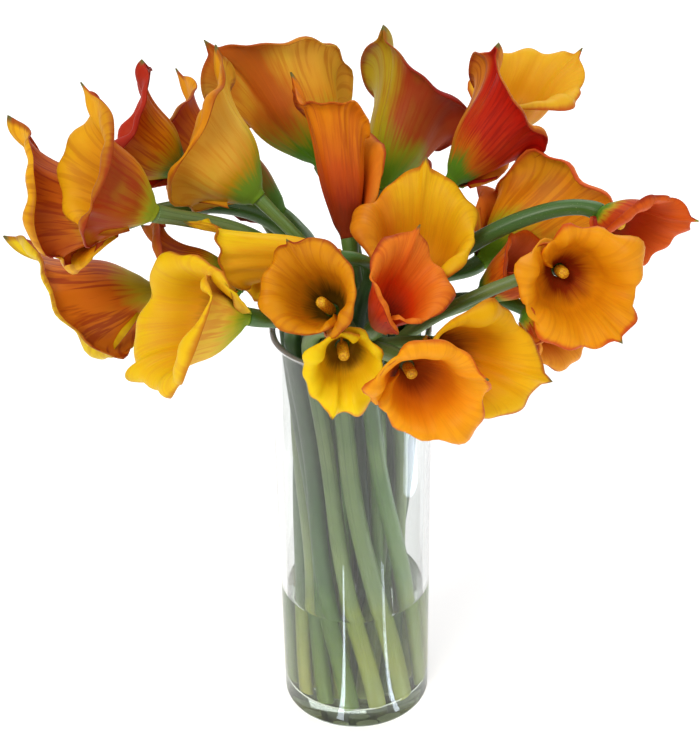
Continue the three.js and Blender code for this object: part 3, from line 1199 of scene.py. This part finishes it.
@dataclass
class Bunch:
    """All the callas, seated in rings in the vase's mouth, the outer ring wound against the inner two."""

    callas: list[Calla]
    mouth: float = 270.0
    foot_height: float = 12.9
    rings: Sequence[Ring] = (Ring(3, 8, -30), Ring(9, 22, -35), Ring(14, 37, 60))
    inset: float = 0.93
    phase_step: float = 2.4

    def steepness(self, calla: Calla) -> float:
        """Gives how steeply a calla's stem leaves the mouth."""
        return (calla.at[2] - self.mouth) / math.hypot(calla.at[0], calla.at[1])

    def bearing(self, calla: Calla) -> float:
        """Gives the direction, seen from above, that a calla stands in."""
        return math.atan2(calla.at[1], calla.at[0])

    def seat(self) -> None:
        """Gives each calla its seat and foot: the stems that leave the mouth lowest take the outer ring."""
        for i, calla in enumerate(self.callas):
            calla.hand = 1 if i % 2 else -1
            calla.phase = i * self.phase_step
            calla.seed = i + 1
        waiting = sorted(self.callas, key=self.steepness, reverse=True)
        for ring in self.rings:
            row = sorted(waiting[:ring.seats], key=self.bearing)
            waiting = waiting[ring.seats:]
            step = 2 * math.pi / len(row)
            drift = np.array([self.bearing(calla) - i * step for i, calla in enumerate(row)])
            start = math.atan2(np.sin(drift).sum(), np.cos(drift).sum())
            for i, calla in enumerate(row):
                angle = start + i * step
                below = angle + math.radians(ring.twist)
                high, low = ring.radius, ring.radius * self.inset
                calla.seat = Vector((high * math.cos(angle), high * math.sin(angle), self.mouth))
                calla.foot = Vector((low * math.cos(below), low * math.sin(below), self.foot_height))

    def build(self) -> None:
        """Builds every calla's three pieces."""
        self.seat()
        green = StemFinish()
        # The light and deep skins are partly stem-to-stem variation and partly lit and shaded copies: painted
        # light and shade.
        light = StemFinish(foot="A8A640", wet="8C9A3C", middle="728A4C", mouth="4A7022", pale="98A66A")
        deep = StemFinish(foot="6E8026", wet="4A6E20", middle="30581A", mouth="1E400E", pale="4C7230")
        skins = [green.paint("stem_skin_green"), light.paint("stem_skin_lit_pale"), deep.paint("stem_skin_shaded_deep")]
        cut, grains = green.paint_cut(), SpadixFinish().paint()
        for calla in self.callas:
            calla.stem(skins[(calla.seed + 1) % len(skins)], cut)
            calla.spadix(grains)
            calla.spathe()


def picked() -> list[Calla]:
    """Picks the callas of this bunch.

    Returns:
        The callas, each with its place, form and colours.
    """
    broad, cup, opened, slim = Habit.BROAD, Habit.CUP, Habit.OPEN, Habit.SLIM
    return [
        Calla("left_low", (-115, 50, 265), 100, 185, 45, 90, broad, PetalFinish(
            body="CC660A", upper="CE7410", lining="D8980A", lip="DDBE0C", foot="A08C1C", streak="96300A",
            streaks=0.75, green=0.05)),
        Calla("left_mid", (-125, -5, 345), 80, 175, 30, 80, broad, PetalFinish(
            body="C4620E", upper="B8500C", lining="D88A08", lip="E2A40A", foot="6C9420", turning="C49A1E",
            streak="94300A", streaks=0.7, green=0.22), sway=(0, 35, 10)),
        Calla("left_high", (-105, -40, 370), 55, 185, 20, 75, broad, PetalFinish(
            body="CE7406", upper="BC4C08", lining="D98A08", lip="E0A20E", foot="8F9C20", streaks=0.6,
            green=0.12, flush="86200A", flush_at=-100, flush_share=0.7), sway=(-10, 25, 5)),
        Calla("left_crown", (-95, 40, 350), 50, 175, 10, 65, broad, PetalFinish(
            body="D4820A", upper="AE2A0C", lining="C4440C", lip="B02A12"), sway=(0, 15, -5)),
        Calla("left_swirl", (-50, 0, 355), 50, 155, 25, 80, broad, PetalFinish(
            body="E8C44A", upper="E2AA2C", lining="D98A08", lip="E09C0A", foot="6E9428", streak="D08418",
            flush="CC760C", flush_at=-70, flush_width=50, flush_share=0.5)),
        Calla("left_back", (-65, 70, 320), 60, 150, 55, 75, cup, PetalFinish(
            body="CC760C", upper="B03E0C", lining="CC7E0A", lip="DE960A")),
        # This bloom's dark olive, brown and purple-red colours are painted shade: it stands behind its
        # neighbours.
        Calla("left_shade", (-40, 100, 285), 60, 155, 90, 80, cup, PetalFinish(
            body="7A601A", upper="663214", lining="6A220E", lip="72201E", foot="4A7222", turning="6A641C",
            rim="701624")),
        Calla("top_left", (-15, 65, 340), 50, 125, -65, 90, broad, PetalFinish(
            body="DE9C22", upper="ECBC3C", lining="C45A0C", lip="E09A1C", foot="58901A", turning="A8AA20",
            streak="C0600E", streaks=0.45, flush="A83E0A", flush_at=12, flush_width=45, flush_share=0.85)),
        Calla("top_twist", (0, 5, 325), 35, 100, -85, 90, slim, PetalFinish(
            body="C4500A", upper="E48A0C", lining="B8480A", lip="DC7E0C", foot="802A0A", turning="9A300A",
            streak="A83A08")),
        Calla("mid_yellow", (-5, -40, 340), 85, 185, 15, 80, slim, PetalFinish(
            body="EEC40A", upper="F0CC0E", lining="D99608", lip="E6B40C", foot="D88C0C", turning="E6AE0A",
            streak="DC900C", streaks=0.25, flush="C8540C", flush_at=-120, flush_share=0.5)),
        Calla("mid_left", (-10, -55, 315), 45, 245, 30, 60, cup, PetalFinish(
            body="CE6E0C", upper="CE5A0C", lining="C88008", lip="D68C0A", throat="5A4006", streak="A8480A",
            streaks=0.7), sway=(-5, 0, 0)),
        Calla("front_yellow", (-5, -65, 300), 90, 275, 160, 40, opened, PetalFinish(
            body="E6B80E", upper="ECC214", lining="DDAA0A", lip="F0CC10", throat="86620A", streak="DC9610",
            streaks=0.25, rim="CC6414")),
        Calla("centre", (35, -15, 300), 5, 0, -95, 70, opened, PetalFinish(
            body="D6840A", upper="E0980C", lining="D68C08", lip="E6B20C", throat="984208", streaks=0.35,
            rim="AC3A0C", flush="D0540C", flush_at=100, flush_share=0.6), sway=(-5, 10, 0)),
        Calla("centre_front", (15, -55, 305), 30, 340, -60, 55, cup, PetalFinish(
            body="D43E06", upper="DA460A", lining="D43C06", lip="E27A1C", throat="8E2406", streaks=0.6,
            streak="B62206", foot="C8540C", turning="D04A0A"), spadix_share=0.2),
        Calla("top_tall", (20, 75, 315), 45, 60, -25, 90, cup, PetalFinish(
            body="A8501C", upper="9E3C1C", lining="82220E", lip="942216", foot="66921A", turning="929818",
            streaks=0.3, green=0.2, flush="B8A81E", flush_at=-35, flush_width=65, flush_share=0.95)),
        Calla("top_far", (90, 115, 330), 25, 10, -160, 65, opened, PetalFinish(
            body="DA960C", upper="DEA414", lining="DA980A", lip="E4B022", streak="D2801C", streaks=0.4,
            rim="BC3C16"), sway=(5, 20, 0)),
        Calla("top_red", (60, 50, 335), 45, 25, 0, 80, cup, PetalFinish(
            body="B8280A", upper="BC1808", lining="B0400C", lip="D8840A", foot="56841E", turning="C0640C",
            streak="861208", flush="D8922A", flush_at=-60, flush_width=45, flush_share=0.8)),
        Calla("right_high", (75, 25, 295), 70, 30, 120, 95, Habit.FRILLED, PetalFinish(
            body="DE8C0C", upper="E08E14", lining="DC800E", lip="E67E2A", foot="66921A", turning="ACA218",
            streaks=0.35, rim="C83C22", green=0.18)),
        Calla("right_far", (140, -5, 345), 95, 315, -70, 50, opened, PetalFinish(
            body="C2480C", upper="9E1A08", lining="B03008", lip="CC560C", tail="8E9828", streaks=0.55,
            rim="84120E"), pull=0.25, sway=(0, -15, 10)),
        Calla("right_mid", (75, -10, 295), 60, 10, -125, 50, cup, PetalFinish(
            body="D4660C", upper="D4560C", lining="8E2208", lip="C4500A", throat="721606", streaks=0.45)),
        Calla("right_frill", (115, -40, 330), 70, 280, -150, 65, Habit.FRILLED, PetalFinish(
            body="DA820A", upper="DE820E", lining="DA8C08", lip="E4940A", throat="8E3006", streaks=0.35,
            rim="BC2A16"), pull=0.25, sway=(10, 0, 0), spadix_share=0.2),
        Calla("right_low", (100, -10, 285), 110, 325, -75, 50, cup, PetalFinish(
            body="AE360E", upper="D46E14", lining="B0400C", lip="E0921E"), sway=(0, 0, -5)),
        Calla("front_right", (45, -45, 285), 80, 310, -120, 65, opened, PetalFinish(
            body="DC8C0A", upper="E29C0C", lining="D68A06", lip="E8B20A", throat="824006", streaks=0.3,
            rim="AC420C"), sway=(0, -5, 0)),
        Calla("front_low", (30, -80, 295), 85, 285, -60, 60, broad, PetalFinish(
            body="DE7C0A", upper="E4880C", lining="D67208", lip="EC9A0C", throat="A04608", streaks=0.3,
            rim="BC420C"), sway=(10, -5, -5), spadix_share=0.2),
        Calla("left_front", (-55, -75, 325), 80, 200, 165, 75, Habit.CURLED, PetalFinish(
            body="E0B838", upper="DCA828", lining="DDA00C", lip="E7BC0E", foot="80981E", turning="B4AC1E",
            streak="D27E2C", streaks=0.55, rim="AC420E", green=0.14), sway=(5, 0, -10)),
        Calla("left_inner", (-60, -25, 315), 95, 175, 60, 65, broad, PetalFinish(
            body="C76A0E", upper="BE5810", lining="B85A10", lip="C46A1A", throat="6A2208", streaks=0.6,
            rim="BC4A30")),
    ]


@dataclass
class Studio:
    """The table, the soft lights and the camera."""

    target: Triple = (0.0, 0.0, 235.0)
    distance: float = 1500.0
    pitch: float = 34.0
    roll: float = -1.0
    focal_pixels: float = 2568.0
    long_side: int = 745
    aim_off: Pair = (1.5, 2.8)
    glint_height: float = 0.8

    def lamp(self, name: str, size: Pair, power: float, colour: str) -> Piece:
        """Makes a soft rectangular lamp.

        Args:
            name: The lamp's name.
            size: Its width and height in metres.
            power: Its power in watts.
            colour: Its colour code.

        Returns:
            The lamp, not yet in its place.
        """
        data = bpy.data.lights.new(name, "AREA")
        data.shape = "RECTANGLE"
        data.size, data.size_y = size
        data.energy = power
        data.color = tint(colour)[:3]
        lamp = bpy.data.objects.new(name, data)
        bpy.context.scene.collection.objects.link(lamp)
        return lamp

    def light(self, name: str, place: Triple, size: Pair, power: float, colour: str) -> None:
        """Hangs a lamp that faces the bunch.

        Args:
            name: The lamp's name.
            place: Where it hangs, in metres.
            size: Its width and height in metres.
            power: Its power in watts.
            colour: Its colour code.
        """
        lamp = self.lamp(name, size, power, colour)
        lamp.location = place
        aim = Vector(self.target) * MM - Vector(place)
        lamp.rotation_euler = aim.to_track_quat("-Z", "Y").to_euler()

    def glint(self, name: str, bearing: float, span: Pair, width: float, radiance: float) -> None:
        """Lays a low lamp on the table that points away from the vase, for a bright line in its glass.

        Args:
            name: The lamp's name.
            bearing: Its direction from the vase in degrees, from the front towards the right.
            span: How far from the vase's axis it starts and ends, in metres.
            width: Its width in metres.
            radiance: How bright it looks, where 1 is white.
        """
        near, far = span
        length = far - near
        lamp = self.lamp(name, (width, length), radiance * math.pi * width * length, "E2EDFF")
        turn = Matrix.Rotation(math.radians(bearing), 4, "Z")
        away = Matrix.Translation((0, -(near + far) / 2, self.glint_height * MM))
        lamp.matrix_world = turn @ away @ Matrix.Rotation(math.pi, 4, "X")
        lamp.visible_camera = False

    def floor(self) -> None:
        """Lays the pale table."""
        mesh = bmesh.new()
        bmesh.ops.create_grid(mesh, x_segments=4, y_segments=4, size=6.0)
        piece_of(mesh, "floor", FloorFinish().paint())

    def camera(self) -> None:
        """Sets the camera at the height and distance that the bunch is looked at from."""
        pitch = math.radians(self.pitch)
        data = bpy.data.cameras.new("camera")
        data.sensor_width = 36.0
        data.lens = self.focal_pixels * data.sensor_width / self.long_side
        data.shift_x = -self.aim_off[0] / self.long_side
        data.shift_y = self.aim_off[1] / self.long_side
        data.clip_start, data.clip_end = 0.05, 30.0
        camera = bpy.data.objects.new("camera", data)
        back = Vector((0, -math.cos(pitch), math.sin(pitch)))
        camera.location = (Vector(self.target) + back * self.distance) * MM
        look = (-back).to_track_quat("-Z", "Y").to_matrix().to_4x4()
        camera.rotation_euler = (look @ Matrix.Rotation(math.radians(self.roll), 4, "Z")).to_euler()
        bpy.context.scene.collection.objects.link(camera)
        bpy.context.scene.camera = camera

    def build(self) -> None:
        """Lays the floor, hangs the lights and sets the camera."""
        self.floor()
        world = bpy.data.worlds.new("studio")
        world.use_nodes = True
        sky = world.node_tree.nodes["Background"]
        sky.inputs["Color"].default_value = tint("FAFBFF")
        sky.inputs["Strength"].default_value = 0.6
        bpy.context.scene.world = world
        bpy.context.scene.view_settings.view_transform = "Standard"
        self.light("key", (-0.9, -1.1, 2.1), (1.0, 1.0), power=27.0, colour="FFF8EE")
        self.light("fill", (1.7, -1.2, 1.2), (0.7, 1.4), power=6.0, colour="F4F8FF")
        self.light("back", (0.4, 1.6, 1.6), (1.2, 0.9), power=12.0, colour="FFFFFF")
        self.glint("glint_left", bearing=-16, span=(0.052, 0.2), width=0.006, radiance=9)
        self.glint("glint_middle", bearing=39, span=(0.052, 0.2), width=0.005, radiance=9)
        self.glint("glint_right", bearing=90, span=(0.254, 0.4), width=0.12, radiance=4)
        self.camera()


def main() -> None:
    """Builds the vase, the bunch and the studio."""
    logging.basicConfig(level=logging.INFO, format="%(message)s")
    vase = Vase()
    vase.glass()
    vase.water()
    Bunch(picked()).build()
    Studio().build()


if __name__ == "__main__":
    main()
